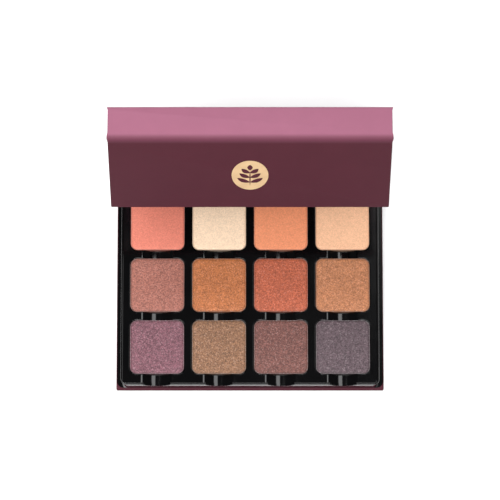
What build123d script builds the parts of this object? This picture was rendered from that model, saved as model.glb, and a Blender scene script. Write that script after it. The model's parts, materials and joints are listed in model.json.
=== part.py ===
from build123d import *
import math
import os

# A twelve-pan eyeshadow palette in a wrap-around board case, in millimetres.
# Origin: centre of the case's underside. +X right, +Y to the rear spine, +Z up.
# The cover is one chain of paper-wrapped boards that turns the same way at every crease:
# base, rear spine, hinge paper, lid, closing edge, closing flap. Closed, the closing edge
# stands in front of the tray and the flap lies under the base, held by two magnets.

# Cover
greyboard = 1.15
paper = 0.15
turn_in = 8.0
lining_margin = 2.5
hinge_paper_thickness = 0.3
hinge_paper_inset = 0.45  # kept clear of each fold line
crease_relief = 0.06
flap_length = 50.35

# Pose of the open case
lid_open_angle = 97.4  # from closed
edge_fold = 90.0
flap_fold = 69.9

# Tray
tray_height = 10.5
tray_corner_radius = 3.2
flange_width = 2.0
flange_corner_radius = 3.0
flange_height = 1.2
rim_width = 1.2
rim_height = 0.8
rim_fillet = 0.4
well_fillet = 0.25
underside_wall = 2.6
tray_floor = 1.15

# Pans
columns = 4
rows = 3
pan_size = 26.0
column_gap = 4.0
row_gap = 4.4
side_margin = 3.4  # deck between the pans and the rim's inner face
front_margin = 4.4
rear_margin = 5.75
pan_height = 4.0
pan_corner_radius = 3.3
pan_wall = 0.3
pan_proud = 0.2
powder_below_rim = 0.12
powder_edge = 0.35
well_clearance = 0.3

# Finger scoops in front of each pan
scoop_width = 15.9  # across its soft shoulders
scoop_depth = 3.2
scoop_shoulder_radius = 3.0
scoop_shoulder_rise = 0.008  # lets the shoulder meet the deck at a slight angle
rim_dip_width = 13.0
rim_dip_depth = 3.4

# Magnets and plates
pan_magnet_radius = 5.0
pan_magnet_thickness = 1.0
magnet_clearance = 0.05
closure_magnet_radius = 4.0
closure_magnet_thickness = 0.9
closure_magnet_from_edge = 9.0
closure_magnet_spacing = 84.0
closure_plate_radius = 6.0
closure_plate_thickness = 0.5

# Emblem on the flap
emblem_width = 17.0
emblem_length = 21.0
emblem_thickness = 0.06
emblem_from_crease = 26.6

# Fits
base_overhang = 1.2  # base beyond the tray at the front
side_overhang = 0.4  # base beyond the tray's flange at each side
lid_clearance = 0.2
closing_clearance = 0.3
crease_clearance = 0.15  # added to a board's thickness at each side of a fold

# Worked out
base_thickness = greyboard + 2 * paper
panel_thickness = greyboard + 3 * paper
crease_gap = 2 * (panel_thickness + crease_clearance)  # free width of paper between two boards
column_pitch = pan_size + column_gap
row_pitch = pan_size + row_gap
tray_width = columns * pan_size + (columns - 1) * column_gap + 2 * (side_margin + rim_width)
tray_depth = rows * pan_size + (rows - 1) * row_gap + front_margin + rear_margin + 2 * rim_width
case_width = tray_width + 2 * (flange_width + side_overhang)
base_depth = tray_depth + base_thickness + base_overhang
rim_top = base_thickness + tray_height
deck_top = rim_top - rim_height
case_height = rim_top + lid_clearance + panel_thickness
hinge_reach = crease_gap * math.sin(math.radians(45.0))
spine_height = case_height - hinge_reach
closed_front = -(base_depth / 2 + closing_clearance + panel_thickness)
lid_length = base_depth / 2 - hinge_reach - closed_front
edge_length = case_height + closing_clearance + panel_thickness
half_gap = crease_gap / 2
tray_front = -(base_depth / 2 - base_overhang)
tray_rear = base_depth / 2 - base_thickness
tray_centre_y = (tray_rear + tray_front) / 2
front_row_y = tray_front + rim_width + front_margin + pan_size / 2
row_centres = [front_row_y + (rows - 1 - row) * row_pitch for row in range(rows)]
column_centres = [(column - (columns - 1) / 2) * column_pitch for column in range(columns)]
pan_places = [(x, y) for y in row_centres for x in column_centres]
pan_seat = deck_top + pan_proud - pan_height
well_size = pan_size + 2 * well_clearance
well_radius = pan_corner_radius + well_clearance
shoulder_drop = scoop_depth + scoop_shoulder_rise
shoulder_reach = ((scoop_width / 2) ** 2 + shoulder_drop ** 2) / (2 * shoulder_drop)
scoop_radius = shoulder_reach - scoop_shoulder_radius
scoop_axis_z = deck_top - scoop_depth + scoop_radius
shoulder_axis_z = deck_top + scoop_shoulder_rise - scoop_shoulder_radius
shoulder_turn = math.asin(scoop_width / 2 / shoulder_reach)
rim_dip_radius = ((rim_dip_width / 2) ** 2 + rim_dip_depth ** 2) / (2 * rim_dip_depth)
rim_dip_axis_z = rim_top - rim_dip_depth + rim_dip_radius
magnet_floor = pan_seat - pan_magnet_thickness - magnet_clearance
underside_relief = min(deck_top - scoop_depth, magnet_floor) - tray_floor - base_thickness
flap_magnet_y = flap_length - closure_magnet_from_edge
plate_y = closed_front + flap_magnet_y - (-base_depth / 2)
magnet_x = closure_magnet_spacing / 2

# Directions of travel along the cover, measured from +Y about +X
lid_angle = 180.0 - lid_open_angle
hinge_paper_angle = (90.0 + lid_angle) / 2
edge_angle = lid_angle + edge_fold
flap_angle = edge_angle + flap_fold


def along(start, angle, distance):
    """The point a distance from start, in the YZ plane."""
    turn = math.radians(angle)
    return (0.0, start[1] + distance * math.cos(turn), start[2] + distance * math.sin(turn))


def panel_plane(start, angle):
    """Local y runs along the cover, local z points into the case, z = 0 is the outer face."""
    turn = math.radians(angle)
    return Plane(origin=start, x_dir=(1, 0, 0), z_dir=(0, -math.sin(turn), math.cos(turn)))


base_start = (0.0, -base_depth / 2, 0.0)
spine_start = (0.0, base_depth / 2, 0.0)
lower_fold = along(spine_start, 90.0, spine_height)
upper_fold = along(lower_fold, hinge_paper_angle, crease_gap)
edge_fold_line = along(upper_fold, lid_angle, lid_length)
flap_fold_line = along(edge_fold_line, edge_angle, edge_length)
base_plane = panel_plane(base_start, 0.0)
spine_plane = panel_plane(spine_start, 90.0)
hinge_plane = panel_plane(lower_fold, hinge_paper_angle)
lid_plane = panel_plane(upper_fold, lid_angle)
edge_plane = panel_plane(edge_fold_line, edge_angle)
flap_plane = panel_plane(flap_fold_line, flap_angle)

os.makedirs("parts", exist_ok=True)


def save(part, name):
    part.label = name
    export_step(part, f"parts/{name}.step")


def make_board(plane, start, end, start_free, end_free, pocket_radius=0.0, pocket_depth=0.0, pocket_y=0.0):
    """The greyboard core of a cover panel. A free edge leaves room for the paper round it."""
    low = start + (paper if start_free else 0.0)
    high = end - (paper if end_free else 0.0)
    with BuildPart() as board:
        with BuildSketch(plane.offset(paper)):
            with Locations((0, (low + high) / 2)):
                Rectangle(case_width - 2 * paper, high - low)
        extrude(amount=greyboard)
        if pocket_depth > 0:
            with BuildSketch(plane.offset(paper + greyboard - pocket_depth)):
                with Locations((-magnet_x, pocket_y), (magnet_x, pocket_y)):
                    Circle(pocket_radius + magnet_clearance)
            extrude(amount=pocket_depth, mode=Mode.SUBTRACT)
    return board.part


def make_wrap(plane, start, end, start_free, end_free):
    """Cover paper: the outer face, the free edges, and the turn-ins glued inside."""
    low = start + (paper if start_free else 0.0)
    high = end - (paper if end_free else 0.0)
    window_low = start + (turn_in if start_free else 0.0)
    window_high = end - (turn_in if end_free else 0.0)
    with BuildPart() as wrap:
        with BuildSketch(plane):
            with Locations((0, (start + end) / 2)):
                Rectangle(case_width, end - start)
        extrude(amount=base_thickness)
        with BuildSketch(plane.offset(paper)):
            with Locations((0, (low + high) / 2)):
                Rectangle(case_width - 2 * paper, high - low)
        extrude(amount=greyboard, mode=Mode.SUBTRACT)
        with BuildSketch(plane.offset(paper + greyboard)):
            with Locations((0, (window_low + window_high) / 2)):
                Rectangle(case_width - 2 * turn_in, window_high - window_low)
        extrude(amount=paper, mode=Mode.SUBTRACT)
    return wrap.part


def make_lining(plane, start, end, start_free, end_free):
    """The sheet pasted inside a panel, down into the window between the turn-ins."""
    low = start + (lining_margin if start_free else 0.0)
    high = end - (lining_margin if end_free else 0.0)
    window_low = start + (turn_in if start_free else 0.0)
    window_high = end - (turn_in if end_free else 0.0)
    with BuildPart() as lining:
        with BuildSketch(plane.offset(paper + greyboard)):
            with Locations((0, (window_low + window_high) / 2)):
                Rectangle(case_width - 2 * turn_in, window_high - window_low)
        extrude(amount=paper)
        with BuildSketch(plane.offset(base_thickness)):
            with Locations((0, (low + high) / 2)):
                Rectangle(case_width - 2 * lining_margin, high - low)
        extrude(amount=paper)
    return lining.part


def make_crease(corner, angle, fold):
    """The paper round a crease: an arc that leaves both panels tangentially."""
    turn = math.radians(fold)
    radius = half_gap / math.tan(turn / 2)
    centre = along(along(corner, angle, -half_gap), angle + 90.0, radius)
    relief = math.degrees(crease_relief / radius)
    with BuildPart() as crease:
        with BuildSketch(Plane(origin=(-case_width / 2, 0, 0), x_dir=(0, 1, 0), z_dir=(1, 0, 0))):
            with BuildLine():
                arc_start = angle - 90.0 + relief
                sweep_angle = fold - 2 * relief
                middle = (centre[1], centre[2])
                outer = CenterArc(middle, radius, arc_start, sweep_angle)
                inner = CenterArc(middle, radius - paper, arc_start, sweep_angle)
                Line(outer @ 0, inner @ 0)
                Line(outer @ 1, inner @ 1)
            make_face()
        extrude(amount=case_width)
    return crease.part


def make_discs(plane, depth, radius, thickness, y):
    """Two discs let into a board, side by side."""
    with BuildPart() as discs:
        with BuildSketch(plane.offset(depth)):
            with Locations((-magnet_x, y), (magnet_x, y)):
                Circle(radius)
        extrude(amount=thickness)
    return discs.part


def scoop_outline():
    """A round-bottomed scoop whose convex shoulders leave the deck almost level."""
    join_x = scoop_radius * math.sin(shoulder_turn)
    join_z = scoop_axis_z - scoop_radius * math.cos(shoulder_turn)
    edge_turn = math.acos((deck_top - shoulder_axis_z) / scoop_shoulder_radius)
    edge_x = scoop_width / 2 - scoop_shoulder_radius * math.sin(edge_turn)
    middle_turn = (edge_turn + shoulder_turn) / 2
    middle_x = scoop_width / 2 - scoop_shoulder_radius * math.sin(middle_turn)
    middle_z = shoulder_axis_z + scoop_shoulder_radius * math.cos(middle_turn)
    with BuildSketch() as outline:
        with BuildLine():
            ThreePointArc((-edge_x, deck_top), (-middle_x, middle_z), (-join_x, join_z))
            ThreePointArc((-join_x, join_z), (0, scoop_axis_z - scoop_radius), (join_x, join_z))
            ThreePointArc((join_x, join_z), (middle_x, middle_z), (edge_x, deck_top))
            Polyline((edge_x, deck_top), (edge_x, rim_top), (-edge_x, rim_top), (-edge_x, deck_top))
        make_face()
    return outline.sketch


def make_pan(x, y):
    """A square tin pan, open at the top."""
    with BuildPart() as pan:
        with BuildSketch(Plane.XY.offset(pan_seat)):
            with Locations((x, y)):
                RectangleRounded(pan_size, pan_size, pan_corner_radius)
        extrude(amount=pan_height)
        with BuildSketch(Plane.XY.offset(pan_seat + pan_wall)):
            with Locations((x, y)):
                inside = pan_size - 2 * pan_wall
                RectangleRounded(inside, inside, pan_corner_radius - pan_wall)
        extrude(amount=pan_height, mode=Mode.SUBTRACT)
    return pan.part


def make_powder(x, y):
    """The pressed cake that fills a pan, with a softened top edge."""
    inside = pan_size - 2 * pan_wall
    with BuildPart() as powder:
        with BuildSketch(Plane.XY.offset(pan_seat + pan_wall)):
            with Locations((x, y)):
                RectangleRounded(inside, inside, pan_corner_radius - pan_wall)
        extrude(amount=pan_height - pan_wall - powder_below_rim)
        chamfer(powder.faces().sort_by(Axis.Z)[-1].edges(), powder_edge)
    return powder.part


# Base: board, cover paper, steel plates for the flap's magnets
base_end = base_depth - half_gap
base_board = make_board(
    base_plane, 0.0, base_end, True, False, closure_plate_radius, closure_plate_thickness, plate_y
)
save(base_board, "base_board")
save(make_wrap(base_plane, 0.0, base_end, True, False), "base_wrap")
plates = make_discs(
    base_plane, paper + greyboard - closure_plate_thickness, closure_plate_radius, closure_plate_thickness, plate_y
)
save(plates, "closure_plates")
save(make_crease(spine_start, 0.0, 90.0), "base_crease")

# Rear spine, glued to the tray's back wall
save(make_board(spine_plane, half_gap, spine_height, False, False), "spine_board")
save(make_wrap(spine_plane, half_gap, spine_height, False, False), "spine_wrap")

# Hinge paper between the spine and the lid, which folds along both of its long sides
with BuildPart() as hinge_paper:
    with BuildSketch(hinge_plane):
        with Locations((0, crease_gap / 2)):
            Rectangle(case_width, crease_gap - 2 * hinge_paper_inset)
    extrude(amount=hinge_paper_thickness)
save(hinge_paper.part, "hinge_paper")

# Lid
lid_end = lid_length - half_gap
save(make_board(lid_plane, 0.0, lid_end, False, False), "lid_board")
save(make_wrap(lid_plane, 0.0, lid_end, False, False), "lid_wrap")
save(make_lining(lid_plane, 0.0, lid_end, False, False), "lid_lining")

# Closing edge
edge_end = edge_length - half_gap
save(make_crease(edge_fold_line, lid_angle, edge_fold), "edge_crease")
save(make_board(edge_plane, half_gap, edge_end, False, False), "edge_board")
save(make_wrap(edge_plane, half_gap, edge_end, False, False), "edge_wrap")
save(make_lining(edge_plane, half_gap, edge_end, False, False), "edge_lining")

# Closing flap, with its magnets and emblem
save(make_crease(flap_fold_line, edge_angle, flap_fold), "flap_crease")
flap_board = make_board(
    flap_plane, half_gap, flap_length, False, True, closure_magnet_radius, closure_magnet_thickness, flap_magnet_y
)
save(flap_board, "flap_board")
save(make_wrap(flap_plane, half_gap, flap_length, False, True), "flap_wrap")
save(make_lining(flap_plane, half_gap, flap_length, False, True), "flap_lining")
flap_magnets = make_discs(
    flap_plane,
    paper + greyboard - closure_magnet_thickness,
    closure_magnet_radius,
    closure_magnet_thickness,
    flap_magnet_y,
)
save(flap_magnets, "flap_magnets")
with BuildPart() as emblem:
    with BuildSketch(flap_plane):
        with Locations((0, emblem_from_crease)):
            Ellipse(emblem_width / 2, emblem_length / 2)
    extrude(amount=-emblem_thickness)
save(emblem.part, "emblem")

# Tray: a deck inside a low rim, twelve wells, a finger scoop in front of each, a glue flange
with BuildPart() as tray:
    with BuildSketch(Plane.XY.offset(base_thickness)):
        with Locations((0, tray_centre_y)):
            RectangleRounded(tray_width, tray_depth, tray_corner_radius)
    extrude(amount=tray_height)
    with BuildSketch(Plane.XY.offset(base_thickness)):
        with Locations((0, tray_centre_y)):
            RectangleRounded(tray_width + 2 * flange_width, tray_depth, flange_corner_radius)
    extrude(amount=flange_height)
    with BuildSketch(Plane.XY.offset(deck_top)):
        with Locations((0, tray_centre_y)):
            RectangleRounded(
                tray_width - 2 * rim_width, tray_depth - 2 * rim_width, tray_corner_radius - rim_width
            )
    extrude(amount=rim_height, mode=Mode.SUBTRACT)
    fillet(tray.faces().sort_by(Axis.Z)[-1].edges(), rim_fillet)
    with BuildSketch(Plane.XY.offset(base_thickness)):
        with Locations((0, tray_centre_y)):
            Rectangle(tray_width - 2 * underside_wall, tray_depth - 2 * underside_wall)
    extrude(amount=underside_relief, mode=Mode.SUBTRACT)
    with BuildSketch(Plane.XY.offset(pan_seat)):
        with Locations(*pan_places):
            RectangleRounded(well_size, well_size, well_radius)
    extrude(amount=pan_height + rim_height, mode=Mode.SUBTRACT)
    deck = tray.faces().filter_by(Axis.Z).group_by(Axis.Z)[-2][0]
    fillet(deck.inner_wires().edges(), well_fillet)
    for row_y in row_centres:
        scoop_start = row_y - pan_size / 2
        scoop_reach = row_gap if row_y > front_row_y else front_margin
        with BuildSketch(Plane.XZ.offset(-scoop_start)):
            with Locations(*[(x, 0) for x in column_centres]):
                add(scoop_outline())
        extrude(amount=scoop_reach, mode=Mode.SUBTRACT)
    with BuildSketch(Plane.XZ.offset(-(tray_front + rim_width))):
        with Locations(*[(x, rim_dip_axis_z) for x in column_centres]):
            Circle(rim_dip_radius)
    extrude(amount=2 * rim_width, mode=Mode.SUBTRACT)
    with BuildSketch(Plane.XY.offset(pan_seat)):
        with Locations(*pan_places):
            Circle(pan_magnet_radius + magnet_clearance)
    extrude(amount=magnet_floor - pan_seat, mode=Mode.SUBTRACT)
save(tray.part, "tray")

# Magnets under the pans, one glued in each well's floor
with BuildPart() as pan_magnets:
    with BuildSketch(Plane.XY.offset(magnet_floor)):
        with Locations(*pan_places):
            Circle(pan_magnet_radius)
    extrude(amount=pan_magnet_thickness)
save(pan_magnets.part, "pan_magnets")

# Pans and their pressed powders, row 1 at the rear
for row, row_y in enumerate(row_centres, start=1):
    for column, column_x in enumerate(column_centres, start=1):
        save(make_pan(column_x, row_y), f"pan_row{row}_col{column}")
        save(make_powder(column_x, row_y), f"powder_row{row}_col{column}")

print("lid length", round(lid_length, 2), "edge length", round(edge_length, 2), "case height", round(case_height, 2))
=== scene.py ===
import json
import math

import bmesh
import bpy
import numpy as np
from mathutils import Matrix, Vector, noise


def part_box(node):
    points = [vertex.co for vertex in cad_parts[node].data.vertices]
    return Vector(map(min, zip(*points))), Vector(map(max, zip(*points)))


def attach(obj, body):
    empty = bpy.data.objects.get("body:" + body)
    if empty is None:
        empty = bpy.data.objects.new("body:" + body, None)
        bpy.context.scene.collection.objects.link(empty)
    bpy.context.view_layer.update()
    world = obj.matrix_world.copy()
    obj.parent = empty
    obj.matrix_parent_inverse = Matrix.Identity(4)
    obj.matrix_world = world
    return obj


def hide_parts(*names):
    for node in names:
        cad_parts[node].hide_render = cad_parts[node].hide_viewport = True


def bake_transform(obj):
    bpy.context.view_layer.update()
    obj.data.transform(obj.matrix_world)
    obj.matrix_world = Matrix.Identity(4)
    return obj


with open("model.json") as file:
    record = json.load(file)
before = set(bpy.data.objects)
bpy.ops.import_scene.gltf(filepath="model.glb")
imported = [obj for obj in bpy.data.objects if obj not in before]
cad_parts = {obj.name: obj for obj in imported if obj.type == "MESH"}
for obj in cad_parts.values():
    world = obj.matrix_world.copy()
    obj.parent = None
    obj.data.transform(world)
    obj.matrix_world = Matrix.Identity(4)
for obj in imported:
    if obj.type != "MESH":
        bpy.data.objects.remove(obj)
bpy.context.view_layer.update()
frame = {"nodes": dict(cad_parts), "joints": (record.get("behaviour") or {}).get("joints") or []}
nodes = frame["nodes"]
joints = {joint["name"]: joint for joint in frame["joints"]}

MM = 0.001

# ---------------------------------------------------------------- sizes, from the frame
BASE_LOW, BASE_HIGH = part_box("base_wrap")
HALF_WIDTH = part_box("lid_wrap")[1].x
PAPER = 0.15 * MM
WRAP_THICKNESS = BASE_HIGH.z - BASE_LOW.z
PANEL_THICKNESS = WRAP_THICKNESS + PAPER
LINING_MARGIN = HALF_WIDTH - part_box("lid_lining")[1].x
LOWER_FOLD = Vector(joints["hinge_lower_fold"]["pos_m"])
UPPER_FOLD = Vector(joints["hinge_upper_fold"]["pos_m"])
EDGE_FOLD = Vector(joints["edge_fold"]["pos_m"])
FLAP_FOLD = Vector(joints["flap_fold"]["pos_m"])
SPINE_FOOT = Vector((0, LOWER_FOLD.y, 0))
HALF_GAP = (UPPER_FOLD - LOWER_FOLD).length / 2
FLAP_FOLD_ANGLE = math.radians(joints["flap_fold"]["range_deg"][1])
BASE_FRONT = BASE_LOW.y

# ---------------------------------------------------------------- looks
CAMERA_DISTANCE = 1.506
CAMERA_TILT = math.radians(10.4)
CAMERA_LENS = 221.0
CAMERA_AIM = Vector((0, 0.0186, 0))

MAROON = (0.074, 0.0155, 0.0255)
# Painted sheen: the closing edge is the same maroon paper, and this mauve paints its satin sheen into the
# colour.
MAUVE_SHEEN = (0.252, 0.092, 0.142)
BLACK_PAPER = (0.012, 0.010, 0.011)
SPARKLE = {"row1": 0.13, "row2": 0.46, "row3": 0.60}
POWDERS = {
    "row1_col1": ("coral", (0.66, 0.19, 0.13)),
    "row1_col2": ("ivory", (0.84, 0.62, 0.44)),
    "row1_col3": ("apricot", (0.73, 0.25, 0.12)),
    "row1_col4": ("champagne", (0.76, 0.43, 0.26)),
    "row2_col1": ("rosewood", (0.31, 0.11, 0.08)),
    "row2_col2": ("copper", (0.41, 0.13, 0.04)),
    "row2_col3": ("terracotta", (0.40, 0.09, 0.04)),
    "row2_col4": ("caramel", (0.41, 0.16, 0.07)),
    "row3_col1": ("mauve", (0.16, 0.06, 0.08)),
    "row3_col2": ("taupe", (0.21, 0.10, 0.05)),
    "row3_col3": ("cocoa", (0.14, 0.05, 0.04)),
    "row3_col4": ("slate", (0.08, 0.05, 0.06)),
}


# ---------------------------------------------------------------- node helpers
class Shader:
    """A new material, with short calls to add and join nodes."""

    def __init__(self, name):
        self.material = bpy.data.materials.new(name)
        self.material.use_nodes = True
        self.tree = self.material.node_tree
        self.surface = self.tree.nodes["Principled BSDF"]
        self.position = self.add("ShaderNodeTexCoord").outputs["Object"]

    def add(self, kind, **values):
        node = self.tree.nodes.new(kind)
        for key, value in values.items():
            setattr(node, key, value)
        return node

    def join(self, output, target):
        self.tree.links.new(output, target)

    def noise(self, scale, detail=3.0, roughness=0.5, distortion=0.0, position=None):
        node = self.add("ShaderNodeTexNoise")
        node.inputs["Scale"].default_value = scale
        node.inputs["Detail"].default_value = detail
        node.inputs["Roughness"].default_value = roughness
        node.inputs["Distortion"].default_value = distortion
        self.join(position or self.position, node.inputs["Vector"])
        return node.outputs["Fac"]

    def cells(self, scale, feature="F1", randomness=1.0):
        node = self.add("ShaderNodeTexVoronoi", feature=feature)
        node.inputs["Scale"].default_value = scale
        node.inputs["Randomness"].default_value = randomness
        self.join(self.position, node.inputs["Vector"])
        return node

    def stretched(self, scale):
        node = self.add("ShaderNodeMapping")
        node.inputs["Scale"].default_value = scale
        self.join(self.position, node.inputs["Vector"])
        return node.outputs["Vector"]

    def ramp(self, value, stops, interpolation="LINEAR"):
        node = self.add("ShaderNodeValToRGB")
        node.color_ramp.interpolation = interpolation
        elements = node.color_ramp.elements
        while len(elements) < len(stops):
            elements.new(0.5)
        for element, (place, colour) in zip(elements, stops):
            element.position = place
            element.color = (*colour, 1.0)
        self.join(value, node.inputs["Fac"])
        return node.outputs["Color"]

    def span(self, value, low, high, out_low, out_high):
        node = self.add("ShaderNodeMapRange")
        limits = {"From Min": low, "From Max": high, "To Min": out_low, "To Max": out_high}
        for key, number in limits.items():
            node.inputs[key].default_value = number
        self.join(value, node.inputs["Value"])
        return node.outputs["Result"]

    def math(self, operation, first, second):
        node = self.add("ShaderNodeMath", operation=operation)
        for socket, value in zip(node.inputs, (first, second)):
            if isinstance(value, (int, float)):
                socket.default_value = value
            else:
                self.join(value, socket)
        return node.outputs["Value"]

    def mix(self, factor, first, second):
        node = self.add("ShaderNodeMix", data_type="RGBA")
        sockets = (node.inputs["Factor"], node.inputs["A"], node.inputs["B"])
        for socket, value in zip(sockets, (factor, first, second)):
            if isinstance(value, (int, float)):
                socket.default_value = value
            elif isinstance(value, tuple):
                socket.default_value = (*value, 1.0)
            else:
                self.join(value, socket)
        return node.outputs["Result"]

    def bump(self, height, strength, distance, below=None):
        node = self.add("ShaderNodeBump")
        node.inputs["Strength"].default_value = strength
        node.inputs["Distance"].default_value = distance
        self.join(height, node.inputs["Height"])
        if below is not None:
            self.join(below, node.inputs["Normal"])
        return node.outputs["Normal"]

    def set(self, **values):
        for key, value in values.items():
            socket = self.surface.inputs[key.replace("_", " ")]
            if isinstance(value, (int, float)):
                socket.default_value = value
            elif isinstance(value, tuple):
                socket.default_value = (*value, 1.0)
            else:
                self.join(value, socket)


def shade(colour, factor):
    return tuple(min(1.0, channel * factor) for channel in colour)


def mix_colours(first, second, share):
    return tuple(a + (b - a) * share for a, b in zip(first, second))


# ---------------------------------------------------------------- materials
def cover_paper():
    """Satin-laminated printed paper, maroon, with a lighter mauve where the tone attribute says so; the
    mauve is painted sheen of the same paper.
    """
    s = Shader("cover_paper")
    cloud = s.noise(90.0, detail=4.0)
    fibre = s.noise(1400.0, detail=5.0, roughness=0.6, position=s.stretched((0.35, 1.0, 1.0)))
    tone = s.add("ShaderNodeAttribute", attribute_name="tone").outputs["Fac"]
    # dark is the maroon paper; light is the painted mauve sheen.
    dark = s.ramp(cloud, [(0.3, shade(MAROON, 0.965)), (0.7, shade(MAROON, 1.035))])
    light = s.ramp(cloud, [(0.3, shade(MAUVE_SHEEN, 0.975)), (0.7, shade(MAUVE_SHEEN, 1.025))])
    dark = s.mix(s.span(fibre, 0.35, 0.65, 0.0, 0.10), dark, shade(MAROON, 1.4))
    s.set(
        Base_Color=s.mix(tone, dark, light),
        Roughness=s.span(fibre, 0.3, 0.7, 0.42, 0.54),
        Specular_IOR_Level=0.07,
    )
    peel = s.bump(s.noise(420.0, detail=2.0), 0.10, 0.05 * MM)
    s.set(Normal=s.bump(fibre, 0.14, 0.03 * MM, below=peel))
    return s.material


def lining_paper():
    s = Shader("lining_paper")
    fibre = s.noise(1700.0, detail=6.0, roughness=0.65)
    cloud = s.noise(60.0, detail=3.0)
    tone = s.ramp(cloud, [(0.3, shade(BLACK_PAPER, 0.85)), (0.7, shade(BLACK_PAPER, 1.3))])
    s.set(
        Base_Color=s.mix(s.span(fibre, 0.45, 0.75, 0.0, 0.25), tone, shade(BLACK_PAPER, 3.0)),
        Roughness=s.span(fibre, 0.3, 0.7, 0.48, 0.62),
        Specular_IOR_Level=0.35,
        Normal=s.bump(fibre, 0.25, 0.04 * MM),
    )
    return s.material


def greyboard():
    s = Shader("greyboard")
    pulp = s.noise(900.0, detail=8.0, roughness=0.7)
    s.set(
        Base_Color=s.ramp(
            pulp, [(0.3, (0.20, 0.185, 0.165)), (0.55, (0.33, 0.31, 0.28)), (0.8, (0.45, 0.43, 0.40))]
        ),
        Roughness=0.9,
        Normal=s.bump(pulp, 0.5, 0.08 * MM),
    )
    return s.material


def tray_plastic():
    """Polished black moulding, with faint flow marks and a little haze."""
    s = Shader("tray_plastic")
    haze = s.noise(55.0, detail=4.0)
    flow = s.noise(35.0, detail=2.0, position=s.stretched((1.0, 0.25, 1.0)))
    specks = s.noise(2600.0, detail=2.0)
    s.set(
        Base_Color=s.ramp(haze, [(0.3, (0.0008, 0.0008, 0.0010)), (0.7, (0.0016, 0.0015, 0.0018))]),
        Roughness=s.span(haze, 0.3, 0.7, 0.08, 0.11),
        Specular_IOR_Level=0.5,
        Coat_Weight=0.0,
        Normal=s.bump(flow, 0.05, 0.15 * MM, below=s.bump(specks, 0.02, 0.02 * MM)),
    )
    return s.material


def brushed_metal(name, dark, light, low, high, stretch=(1.0, 12.0, 1.0)):
    s = Shader(name)
    grain = s.noise(700.0, detail=5.0, roughness=0.6, position=s.stretched(stretch))
    s.set(
        Base_Color=s.ramp(grain, [(0.3, dark), (0.7, light)]),
        Metallic=1.0,
        Roughness=s.span(grain, 0.3, 0.7, low, high),
        Normal=s.bump(grain, 0.08, 0.02 * MM),
    )
    return s.material


def dusted_tin(name, colour):
    """Tin plate with powder dust of the pan's own colour caught on it."""
    s = Shader(name)
    dust = s.noise(1500.0, detail=4.0, roughness=0.6)
    cover = s.span(dust, 0.30, 0.55, 0.55, 0.98)
    tin = (0.42, 0.41, 0.40)
    s.set(
        Base_Color=s.mix(cover, tin, shade(colour, 0.85)),
        Metallic=s.span(cover, 0.0, 1.0, 0.9, 0.15),
        Roughness=s.span(cover, 0.0, 1.0, 0.3, 0.6),
        Normal=s.bump(dust, 0.3, 0.04 * MM),
    )
    return s.material


def powder(name, colour, sparkle):
    """Pressed shimmer: speckled pigment, pearl flakes that catch the light, uneven pressing."""
    s = Shader(name)
    speck = s.add("ShaderNodeSeparateColor")
    s.join(s.cells(2300.0).outputs["Color"], speck.inputs["Color"])
    flake = s.add("ShaderNodeSeparateColor")
    s.join(s.cells(2100.0).outputs["Color"], flake.inputs["Color"])
    grain = s.noise(2600.0, detail=2.0, roughness=0.8)
    pressing = s.noise(210.0, detail=3.0, roughness=0.55)
    speckle = [(0.0, shade(colour, 1 - sparkle)), (1.0, shade(colour, 1 + sparkle))]
    base = s.ramp(speck.outputs["Red"], speckle)
    base = s.mix(s.span(grain, 0.4, 0.6, 0.0, sparkle), base, shade(colour, 0.45))
    base = s.mix(s.span(pressing, 0.35, 0.65, 0.0, 0.10), base, shade(colour, 0.78))
    glint = s.span(flake.outputs["Red"], 0.78, 1.0, 0.0, 0.8 * sparkle)
    pearl = mix_colours(shade(colour, 1.7), (1.0, 0.97, 0.95), 0.12)
    s.set(
        Base_Color=s.mix(glint, base, pearl),
        Metallic=s.span(glint, 0.0, 1.0, 0.08, 0.8),
        Roughness=s.span(flake.outputs["Green"], 0.0, 1.0, 0.42, 0.62),
        Specular_IOR_Level=0.3,
    )
    flake_height = s.math("ADD", speck.outputs["Blue"], s.math("MULTIPLY", grain, 1.2))
    soft = s.bump(pressing, 0.20, 0.20 * MM)
    s.set(Normal=s.bump(flake_height, 0.5 * sparkle, 0.05 * MM, below=soft))
    return s.material


def gold_foil():
    s = Shader("gold_foil")
    leaf = s.noise(1300.0, detail=3.0)
    cloud = s.noise(160.0, detail=3.0)
    s.set(
        Base_Color=s.ramp(cloud, [(0.3, (0.60, 0.40, 0.215)), (0.7, (0.72, 0.50, 0.275))]),
        Metallic=0.6,
        Roughness=s.span(leaf, 0.3, 0.7, 0.36, 0.48),
        Normal=s.bump(leaf, 0.12, 0.02 * MM),
    )
    return s.material


def floor_material():
    s = Shader("pale_floor")
    cloud = s.noise(3.0, detail=3.0)
    s.set(
        Base_Color=s.ramp(cloud, [(0.3, (0.93, 0.93, 0.935)), (0.7, (0.95, 0.95, 0.955))]),
        Roughness=0.75,
        Specular_IOR_Level=0.2,
    )
    return s.material


MATERIALS = {
    "cover": cover_paper(),
    "lining": lining_paper(),
    "board": greyboard(),
    "tray": tray_plastic(),
    "gold": gold_foil(),
    "magnet": brushed_metal("magnet_nickel", (0.48, 0.48, 0.50), (0.66, 0.66, 0.68), 0.22, 0.34),
    "plate": brushed_metal("steel_plate", (0.33, 0.33, 0.34), (0.48, 0.48, 0.49), 0.35, 0.5),
}


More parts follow.
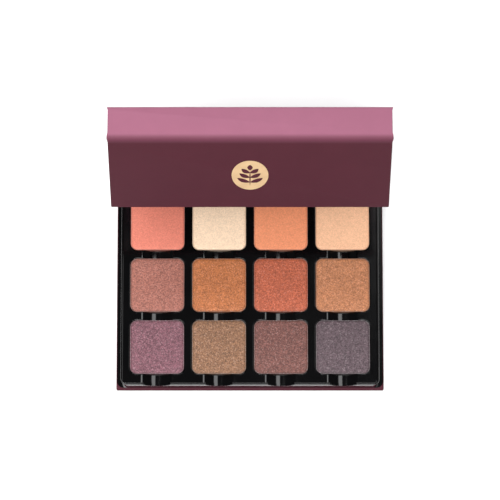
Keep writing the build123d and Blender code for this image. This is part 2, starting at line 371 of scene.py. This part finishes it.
# ---------------------------------------------------------------- mesh helpers
def new_piece(name, vertices, faces, material, body=None, replaces=(), smooth=True):
    mesh = bpy.data.meshes.new(name)
    mesh.from_pydata([tuple(v) for v in vertices], [], faces)
    mesh.update()
    tidy = bmesh.new()
    tidy.from_mesh(mesh)
    bmesh.ops.remove_doubles(tidy, verts=tidy.verts, dist=1e-7)
    bmesh.ops.recalc_face_normals(tidy, faces=tidy.faces)
    tidy.to_mesh(mesh)
    tidy.free()
    piece = bpy.data.objects.new(name, mesh)
    bpy.context.scene.collection.objects.link(piece)
    mesh.materials.append(material)
    if smooth:
        smooth_by_angle(piece)
    if body:
        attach(piece, body)
    if replaces:
        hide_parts(*replaces)
    return piece


def set_tone(piece, tone_at):
    """Stores how far the colour is towards the painted mauve sheen, from 0 to 1, at each vertex."""
    values = piece.data.attributes.new("tone", "FLOAT", "POINT").data
    for vertex, value in zip(piece.data.vertices, values):
        value.value = tone_at(vertex.co)


def cut_across(piece, frame_matrix, places):
    """Adds edges across a panel at given distances from its fold."""
    mesh = bmesh.new()
    mesh.from_mesh(piece.data)
    along = frame_matrix.to_3x3() @ Vector((0, 1, 0))
    for place in places:
        everything = mesh.verts[:] + mesh.edges[:] + mesh.faces[:]
        point = frame_matrix @ Vector((0, place, 0))
        bmesh.ops.bisect_plane(mesh, geom=everything, dist=1e-7, plane_co=point, plane_no=along)
    mesh.to_mesh(piece.data)
    mesh.free()
    smooth_by_angle(piece)


def smooth_by_angle(piece, limit=40.0):
    mesh = piece.data
    mesh.polygons.foreach_set("use_smooth", [True] * len(mesh.polygons))
    mesh.set_sharp_from_angle(angle=math.radians(limit))


def rounded_outline(x0, x1, y0, y1, radii, steps=6):
    """Points round a rectangle, anticlockwise from the low corner; radii in the same order."""
    corners = [
        (x0, y0, 1, 1, math.pi),
        (x1, y0, -1, 1, 1.5 * math.pi),
        (x1, y1, -1, -1, 0.0),
        (x0, y1, 1, -1, 0.5 * math.pi),
    ]
    points = []
    for (x, y, sx, sy, start), radius in zip(corners, radii):
        for step in range(steps + 1):
            turn = start + 0.5 * math.pi * step / steps
            centre_x = x + sx * radius
            centre_y = y + sy * radius
            points.append((centre_x + radius * math.cos(turn), centre_y + radius * math.sin(turn)))
    return points


def stacked(rings):
    """Vertices and faces of a closed solid through rings of equal length, capped at both ends."""
    count = len(rings[0])
    vertices = [point for ring in rings for point in ring]
    faces = [list(range(count))[::-1], list(range((len(rings) - 1) * count, len(rings) * count))]
    for level in range(len(rings) - 1):
        low, high = level * count, (level + 1) * count
        for k in range(count):
            nxt = (k + 1) % count
            faces.append([low + k, low + nxt, high + nxt, high + k])
    return vertices, faces


def panel_frame(origin, direction):
    """Local y along the cover, z into the case, z = 0 on the outer face."""
    y = direction.normalized()
    x = Vector((1, 0, 0))
    z = x.cross(y)
    rows = [(x[axis], y[axis], z[axis], origin[axis]) for axis in range(3)]
    return Matrix((*rows, (0, 0, 0, 1)))


def turned(direction, angle):
    return Matrix.Rotation(angle, 3, "X") @ direction


BASE_DIR = Vector((0, 1, 0))
SPINE_DIR = Vector((0, 0, 1))
LID_DIR = (EDGE_FOLD - UPPER_FOLD).normalized()
EDGE_DIR = (FLAP_FOLD - EDGE_FOLD).normalized()
FLAP_DIR = turned(EDGE_DIR, FLAP_FOLD_ANGLE)
HINGE_DIR = (UPPER_FOLD - LOWER_FOLD).normalized()
BASE = panel_frame(Vector((0, BASE_FRONT, 0)), BASE_DIR)
SPINE = panel_frame(SPINE_FOOT, SPINE_DIR)
LID = panel_frame(UPPER_FOLD, LID_DIR)
EDGE = panel_frame(EDGE_FOLD, EDGE_DIR)
FLAP = panel_frame(FLAP_FOLD, FLAP_DIR)
BASE_LENGTH = SPINE_FOOT.y - BASE_FRONT
LID_LENGTH = (EDGE_FOLD - UPPER_FOLD).length
EDGE_LENGTH = (FLAP_FOLD - EDGE_FOLD).length
FLAP_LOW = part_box("flap_wrap")[0]
# The box reaches lowest at the inner corner of the free edge, one thickness in from the outer face.
FLAP_LENGTH = (FLAP_FOLD.z - FLAP_LOW.z + WRAP_THICKNESS * FLAP_DIR.y) / -FLAP_DIR.z

EDGE_ROUND = 0.38 * MM
CORNER_ROUND = 0.8 * MM
REAR_SOFT = 1.75 * MM
FLAP_SOFT = 2.8 * MM
ROUND_STEPS = 4
EAR = 0.38 * MM
# Painted shade across the flap's crease: the mauve sheen fades to maroon as the paper turns down.
SHEEN_FADE_STOPS = [(-2.2 * MM, 1.0), (-0.6 * MM, 0.5), (2.6 * MM, 0.19), (3.9 * MM, 0.0)]


def slab(frame_matrix, y0, y1, free0, free1, z0, z1, side_inset=0.0, edge_round=EDGE_ROUND):
    """A board with rounded free edges; an end that meets a crease stays square."""
    rings = []
    levels = []
    for step in range(ROUND_STEPS + 1):
        turn = 0.5 * math.pi * step / ROUND_STEPS
        levels.append((edge_round * (1 - math.sin(turn)), z0 + edge_round * (1 - math.cos(turn))))
    for step in range(ROUND_STEPS + 1):
        turn = 0.5 * math.pi * step / ROUND_STEPS
        levels.append((edge_round * (1 - math.cos(turn)), z1 - edge_round * (1 - math.sin(turn))))
    square = 0.01 * MM
    for inset, z in levels:
        corner = max(CORNER_ROUND - inset, square)
        radii = [corner if free0 else square] * 2 + [corner if free1 else square] * 2
        x = HALF_WIDTH - side_inset - inset
        outline = rounded_outline(-x, x, y0 + (inset if free0 else 0), y1 - (inset if free1 else 0), radii)
        rings.append([frame_matrix @ Vector((px, py, z)) for px, py in outline])
    return stacked(rings)


def panel(name, body, frame_matrix, y0, y1, free0, free1, material, replaces):
    vertices, faces = slab(frame_matrix, y0, y1, free0, free1, 0.0, WRAP_THICKNESS)
    return new_piece(name, vertices, faces, material, body, replaces)


def lining(name, body, frame_matrix, y0, y1, free0, free1, replaces):
    low = y0 + (LINING_MARGIN if free0 else 0.0)
    high = y1 - (LINING_MARGIN if free1 else 0.0)
    vertices, faces = slab(
        frame_matrix, low, high, free0, free1,
        WRAP_THICKNESS - 0.02 * MM, PANEL_THICKNESS, side_inset=LINING_MARGIN, edge_round=0.05 * MM,
    )
    return new_piece(name, vertices, faces, MATERIALS["lining"], body, replaces)


def crease(name, corner, before, after, bodies, material, replaces, soft):
    """The soft corner between two panels, from the rounded board ends round the paper between.

    before and after are the directions of travel; the outer face is an arc tangent to both."""
    fold = before.angle(after)
    in_before = Vector((1, 0, 0)).cross(before)
    in_after = Vector((1, 0, 0)).cross(after)
    radius = soft / math.tan(fold / 2)
    centre = corner - before * soft + in_before * radius
    steps = 14
    skin = 0.42 * MM
    outer = []
    inner = []
    for step in range(steps + 1):
        turn = fold * step / steps
        spoke = turned(-in_before, turn)
        outer.append(centre + spoke * radius)
    gap_share = HALF_GAP / soft
    for step in range(steps + 1):
        turn = fold * (0.5 + gap_share * (step / steps - 0.5))
        spoke = turned(-in_before, turn)
        inner.append(centre + spoke * (radius - skin))
    ring = list(outer)
    ring.append(corner + after * soft + in_after * WRAP_THICKNESS)
    ring.append(corner + after * HALF_GAP + in_after * WRAP_THICKNESS)
    ring.extend(reversed(inner))
    ring.append(corner - before * HALF_GAP + in_before * WRAP_THICKNESS)
    ring.append(corner - before * soft + in_before * WRAP_THICKNESS)
    shares = [math.sin(math.pi * step / steps) for step in range(steps + 1)]
    shares += [0.0, 0.0] + [0.6 * share for share in shares] + [0.0, 0.0]
    stations = []
    for x, inset in ((-1, 1.0), (-1, 0.3), (-1, 0.0)):
        stations.append((x, inset))
    for x, inset in ((1, 0.0), (1, 0.3), (1, 1.0)):
        stations.append((x, inset))
    rings = []
    middle = sum(ring, Vector()) / len(ring)
    for side, inset in stations:
        placed = []
        for point, share in zip(ring, shares):
            pulled = point.lerp(middle, 0.05 * inset)
            reach = HALF_WIDTH + EAR * share - (0.0 if inset == 1.0 else (1.0 - inset) * 0.35 * MM)
            placed.append(Vector((side * reach, pulled.y, pulled.z)))
        rings.append(placed)
    vertices, faces = stacked(rings)
    piece = new_piece(name, vertices, faces, material, None, replaces)
    if isinstance(bodies, str):
        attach(piece, bodies)
    else:
        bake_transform(piece)
    return piece


# ---------------------------------------------------------------- cover
def flap_sheen_fade(point):
    """Painted mauve sheen on the closing edge, fading to maroon across the flap's crease as painted shade
    where the paper turns down.
    """
    offset = point - FLAP_FOLD
    along = (offset.dot(FLAP_DIR) + offset.dot(EDGE_DIR)) / (1.0 + FLAP_DIR.dot(EDGE_DIR))
    places = [place for place, tone in SHEEN_FADE_STOPS]
    tones = [tone for place, tone in SHEEN_FADE_STOPS]
    return float(np.interp(along, places, tones))


# Painted mauve sheen over the whole piece.
def all_mauve_sheen(point):
    return 1.0


def build_cover():
    cover = MATERIALS["cover"]
    panel(
        "base_cover", "case", BASE, 0.0, BASE_LENGTH - HALF_GAP, True, False, cover,
        ["base_wrap"],
    )
    crease(
        "base_corner", SPINE_FOOT, BASE_DIR, SPINE_DIR, "case", cover, ["base_crease"],
        soft=HALF_GAP,
    )
    spine_top = (LOWER_FOLD - SPINE_FOOT).length
    panel(
        "spine_cover", "case", SPINE, HALF_GAP, spine_top, False, False, cover,
        ["spine_wrap"],
    )
    panel(
        "lid_cover", "lid", LID, 0.0, LID_LENGTH - REAR_SOFT, False, False, cover,
        ["lid_wrap"],
    )
    lining("lid_inner_paper", "lid", LID, 0.0, LID_LENGTH - HALF_GAP, False, False, ["lid_lining"])
    rear = crease(
        "edge_rear_crease", EDGE_FOLD, LID_DIR, EDGE_DIR, ("lid", "closing_edge"), cover,
        ["edge_crease"], soft=REAR_SOFT,
    )
    set_tone(rear, all_mauve_sheen)
    edge = panel(
        "edge_cover", "closing_edge", EDGE, REAR_SOFT, EDGE_LENGTH - FLAP_SOFT, False, False, cover,
        ["edge_wrap"],
    )
    set_tone(edge, all_mauve_sheen)
    lining(
        "edge_inner_paper", "closing_edge", EDGE, HALF_GAP, EDGE_LENGTH - HALF_GAP, False, False,
        ["edge_lining"],
    )
    front = crease(
        "flap_crease_paper", FLAP_FOLD, EDGE_DIR, FLAP_DIR, ("closing_edge", "closing_flap"), cover,
        ["flap_crease"], soft=FLAP_SOFT,
    )
    set_tone(front, flap_sheen_fade)
    flap = panel(
        "flap_cover", "closing_flap", FLAP, FLAP_SOFT, FLAP_LENGTH, False, True, cover,
        ["flap_wrap"],
    )
    # Edges across the flap carry the painted shade fade.
    cut_across(flap, FLAP, [FLAP_SOFT + step * 0.3 * MM for step in range(1, 5)])
    set_tone(flap, flap_sheen_fade)
    lining("flap_inner_paper", "closing_flap", FLAP, HALF_GAP, FLAP_LENGTH, False, True, ["flap_lining"])


def build_hinge():
    """The paper hinge behind the tray: two straight strips, each across one fold line."""
    middle = (LOWER_FOLD + UPPER_FOLD) / 2
    inward = Vector((1, 0, 0)).cross(HINGE_DIR)
    skin = 0.34 * MM
    tuck = 0.6 * MM  # how far each strip runs on past its fold line
    overlap = 0.2 * MM  # how far each strip runs past the middle
    lower_start = LOWER_FOLD - SPINE_DIR * tuck
    lower_end = middle + HINGE_DIR * overlap
    upper_start = middle - HINGE_DIR * overlap
    upper_end = UPPER_FOLD + LID_DIR * tuck
    strips = (
        ("hinge_paper_lower", ("case", "hinge_strip"), lower_start, lower_end, LOWER_FOLD, ["hinge_paper"]),
        ("hinge_paper_upper", ("hinge_strip", "lid"), upper_start, upper_end, UPPER_FOLD, []),
    )
    for name, body_pair, start, end, fold, hidden in strips:
        steps = 12
        ring_outer = []
        ring_inner = []
        for step in range(steps + 1):
            point = start.lerp(end, step / steps)
            ring_outer.append(point - inward * 0.02 * MM)
            ring_inner.append(point + inward * skin)
        ring = ring_outer + ring_inner[::-1]
        side = HALF_WIDTH + 0.05 * MM
        rings = [[Vector((x, p.y, p.z)) for p in ring] for x in (-side, side)]
        vertices, faces = stacked(rings)
        piece = new_piece(name, vertices, faces, MATERIALS["cover"], None, hidden)
        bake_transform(piece)


# ---------------------------------------------------------------- pans and powders
def build_powder(place, colour_name, colour):
    """A pressed cake with a rounded, slightly crumbled edge and a faint crown."""
    low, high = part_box(f"powder_{place}")
    centre = (low + high) / 2
    half = (high.x - low.x) / 2
    corner = 3.0 * MM
    crown = 0.10 * MM
    edge = 0.45 * MM
    top = high.z
    inner_rings = 26
    rings = []
    steps = 10
    shoulder = (
        (0.0, high.z - low.z),
        (0.0, edge),
        (0.03 * MM, edge * 0.62),
        (0.10 * MM, edge * 0.33),
        (0.22 * MM, edge * 0.12),
        (0.36 * MM, edge * 0.03),
    )
    for inset, drop in shoulder:
        rings.append((half - inset, corner - inset, top - drop, 0.0))
    for step in range(inner_rings):
        share = 1 - (step + 1) / (inner_rings + 1)
        reach = (half - 0.5 * MM) * share
        rings.append((reach, max((corner - 0.5 * MM) * share, 0.02 * MM), top, 1 - share * share))
    placed = []
    for reach, radius, z, crowned in rings:
        ring = []
        for x, y in rounded_outline(-reach, reach, -reach, reach, [radius] * 4, steps):
            ring.append((x, y, z, crowned))
        placed.append(ring)
    rings = []
    for level, ring in enumerate(placed):
        done = []
        for x, y, z, crowned in ring:
            spot = Vector((centre.x + x, centre.y + y, 0.0))
            ripple = noise.noise(spot * 420.0) * 0.035 * MM + noise.noise(spot * 1500.0) * 0.012 * MM
            lift = crown * crowned + (ripple if level > 3 else 0.0)
            done.append(Vector((spot.x, spot.y, z + lift)))
        rings.append(done)
    vertices, faces = stacked(rings)
    material = powder(f"powder_{colour_name}", colour, SPARKLE[place[:4]])
    new_piece(
        f"powder_cake_{colour_name}", vertices, faces, material, f"pan_r{place[3]}c{place[8]}",
        [f"powder_{place}"],
    )


def build_pans():
    for place, (colour_name, colour) in POWDERS.items():
        build_powder(place, colour_name, colour)
        paint(f"pan_{place}", dusted_tin(f"tin_{colour_name}", colour))
        soften(nodes[f"pan_{place}"], 0.07 * MM, 2)


def paint(node, material):
    target = nodes[node]
    if not target.material_slots:
        target.data.materials.append(material)
    for slot in target.material_slots:
        slot.link = "OBJECT"
        slot.material = material


def soften(piece, width, segments, angle=32.0):
    """Rounds a CAD piece's sharp edges, so that they catch the light."""
    weld = piece.modifiers.new("weld", "WELD")
    weld.merge_threshold = 0.002 * MM
    bevel = piece.modifiers.new("soft_edges", "BEVEL")
    bevel.width = width
    bevel.segments = segments
    bevel.limit_method = "ANGLE"
    bevel.angle_limit = math.radians(angle)
    bevel.harden_normals = False
    even_shading(piece)


def even_shading(piece):
    weighted = piece.modifiers.new("even_shading", "WEIGHTED_NORMAL")
    weighted.keep_sharp = False
    weighted.weight = 60


# ---------------------------------------------------------------- emblem
def build_emblem():
    """A plain gold oval with a leaf sprig left in the colour of the paper."""
    low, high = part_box("emblem")
    half_width = (high.x - low.x) / 2
    centre_world = (low + high) / 2
    inverse = FLAP.inverted()
    centre = inverse @ centre_world
    corners = [inverse @ Vector((0, y, z)) for y, z in ((low.y, low.z), (high.y, high.z))]
    half_length = abs(corners[0].y - corners[1].y) / 2
    steps = 72
    levels = ((1.0, 0.0), (1.0, -0.035 * MM), (0.985, -0.055 * MM), (0.93, -0.06 * MM))
    rings = []
    for scale, z in levels:
        ring = []
        for step in range(steps):
            turn = 2 * math.pi * step / steps
            across = half_width * scale * math.cos(turn)
            along = centre.y + half_length * scale * math.sin(turn)
            ring.append(FLAP @ Vector((across, along, z)))
        rings.append(ring)
    vertices, faces = stacked(rings)
    new_piece("gold_oval", vertices, faces, MATERIALS["gold"], "closing_flap", ["emblem"])

    def blade(name, root, tip, width, bow=0.0):
        """A leaf or stem: a pointed outline between two points, thin, just proud of the gold."""
        axis = tip - root
        side = Vector((-axis.y, axis.x, 0)).normalized()
        count = 14
        left, right = [], []
        for step in range(count + 1):
            share = step / count
            spread = width * math.sin(math.pi * share) ** 0.8
            spine = root + axis * share + side * (bow * math.sin(math.pi * share))
            left.append(spine + side * spread)
            right.append(spine - side * spread)
        outline = left + right[::-1][1:-1]
        rings = [[FLAP @ Vector((p.x, p.y, z)) for p in outline] for z in (-0.05 * MM, -0.075 * MM)]
        vertices, faces = stacked(rings)
        new_piece(name, vertices, faces, MATERIALS["cover"], "closing_flap", smooth=False)

    stem_foot = Vector((0, centre.y + half_length * 0.72, 0))
    stem_top = Vector((0, centre.y - half_length * 0.34, 0))
    blade("sprig_stem", stem_foot, stem_top, 0.30 * MM)
    for level in range(3):
        root = stem_foot.lerp(stem_top, 0.22 + 0.30 * level)
        reach = half_width * (0.70 - 0.12 * level)
        for side, word in ((-1, "left"), (1, "right")):
            tip = root + Vector((side * reach, -half_length * 0.30, 0))
            blade(f"sprig_leaf_{level}_{word}", root, tip, 1.25 * MM, bow=side * 0.35 * MM)
    blade("sprig_top_leaf", stem_top, stem_top + Vector((0, -half_length * 0.38, 0)), 1.25 * MM)


# ---------------------------------------------------------------- other CAD nodes
def dress_cad_nodes():
    for name in ("base_board", "spine_board", "lid_board", "edge_board", "flap_board"):
        paint(name, MATERIALS["board"])
    for name in ("pan_magnets", "flap_magnets"):
        paint(name, MATERIALS["magnet"])
    paint("closure_plates", MATERIALS["plate"])
    paint("tray", MATERIALS["tray"])


# ---------------------------------------------------------------- studio
def build_studio():
    size = 3.0
    steps = 24
    vertices = []
    faces = []
    for row in range(steps + 1):
        for column in range(steps + 1):
            x = (column / steps - 0.5) * 2 * size
            y = (row / steps - 0.5) * 2 * size
            vertices.append((x, y, -0.02 * MM))
    for row in range(steps):
        for column in range(steps):
            corner = row * (steps + 1) + column
            faces.append([corner, corner + 1, corner + steps + 2, corner + steps + 1])
    floor = new_piece("floor", vertices, faces, floor_material())

    def softbox(name, direction, distance, width, length, power):
        light = bpy.data.lights.new(name, "AREA")
        light.shape = "RECTANGLE"
        light.size = width
        light.size_y = length
        light.energy = power
        lamp = bpy.data.objects.new(name, light)
        bpy.context.scene.collection.objects.link(lamp)
        lamp.location = Vector(direction).normalized() * distance
        lamp.rotation_mode = "QUATERNION"
        lamp.rotation_quaternion = Vector(direction).to_track_quat("Z", "Y")
        return lamp

    softbox("front_softbox", (-0.15, -0.30, 1.0), 1.5, 1.1, 0.7, 28.5)
    softbox("right_softbox", (0.37, 0.14, 1.0), 1.4, 0.60, 0.60, 2.2)
    softbox("right_core", (0.36, 0.12, 1.0), 1.38, 0.30, 0.50, 1.0)
    softbox("rear_softbox", (-0.12, 0.62, 1.0), 1.3, 0.8, 0.35, 10.0)
    world = bpy.data.worlds.new("studio")
    world.use_nodes = True
    background = world.node_tree.nodes["Background"]
    background.inputs["Color"].default_value = (0.97, 0.98, 1.0, 1.0)
    background.inputs["Strength"].default_value = 0.06
    bpy.context.scene.world = world


def build_camera():
    data = bpy.data.cameras.new("camera")
    data.lens = CAMERA_LENS
    data.sensor_width = 36.0
    data.clip_start = 0.05
    data.clip_end = 20.0
    camera = bpy.data.objects.new("camera", data)
    bpy.context.scene.collection.objects.link(camera)
    back = Vector((0, -math.sin(CAMERA_TILT), math.cos(CAMERA_TILT)))
    camera.location = CAMERA_AIM + back * CAMERA_DISTANCE
    camera.rotation_euler = (CAMERA_TILT, 0, 0)
    bpy.context.scene.camera = camera


dress_cad_nodes()
build_cover()
build_hinge()
build_pans()
build_emblem()
build_studio()
build_camera()
bpy.context.scene.view_settings.view_transform = "Standard"
bpy.context.scene.view_settings.look = "None"
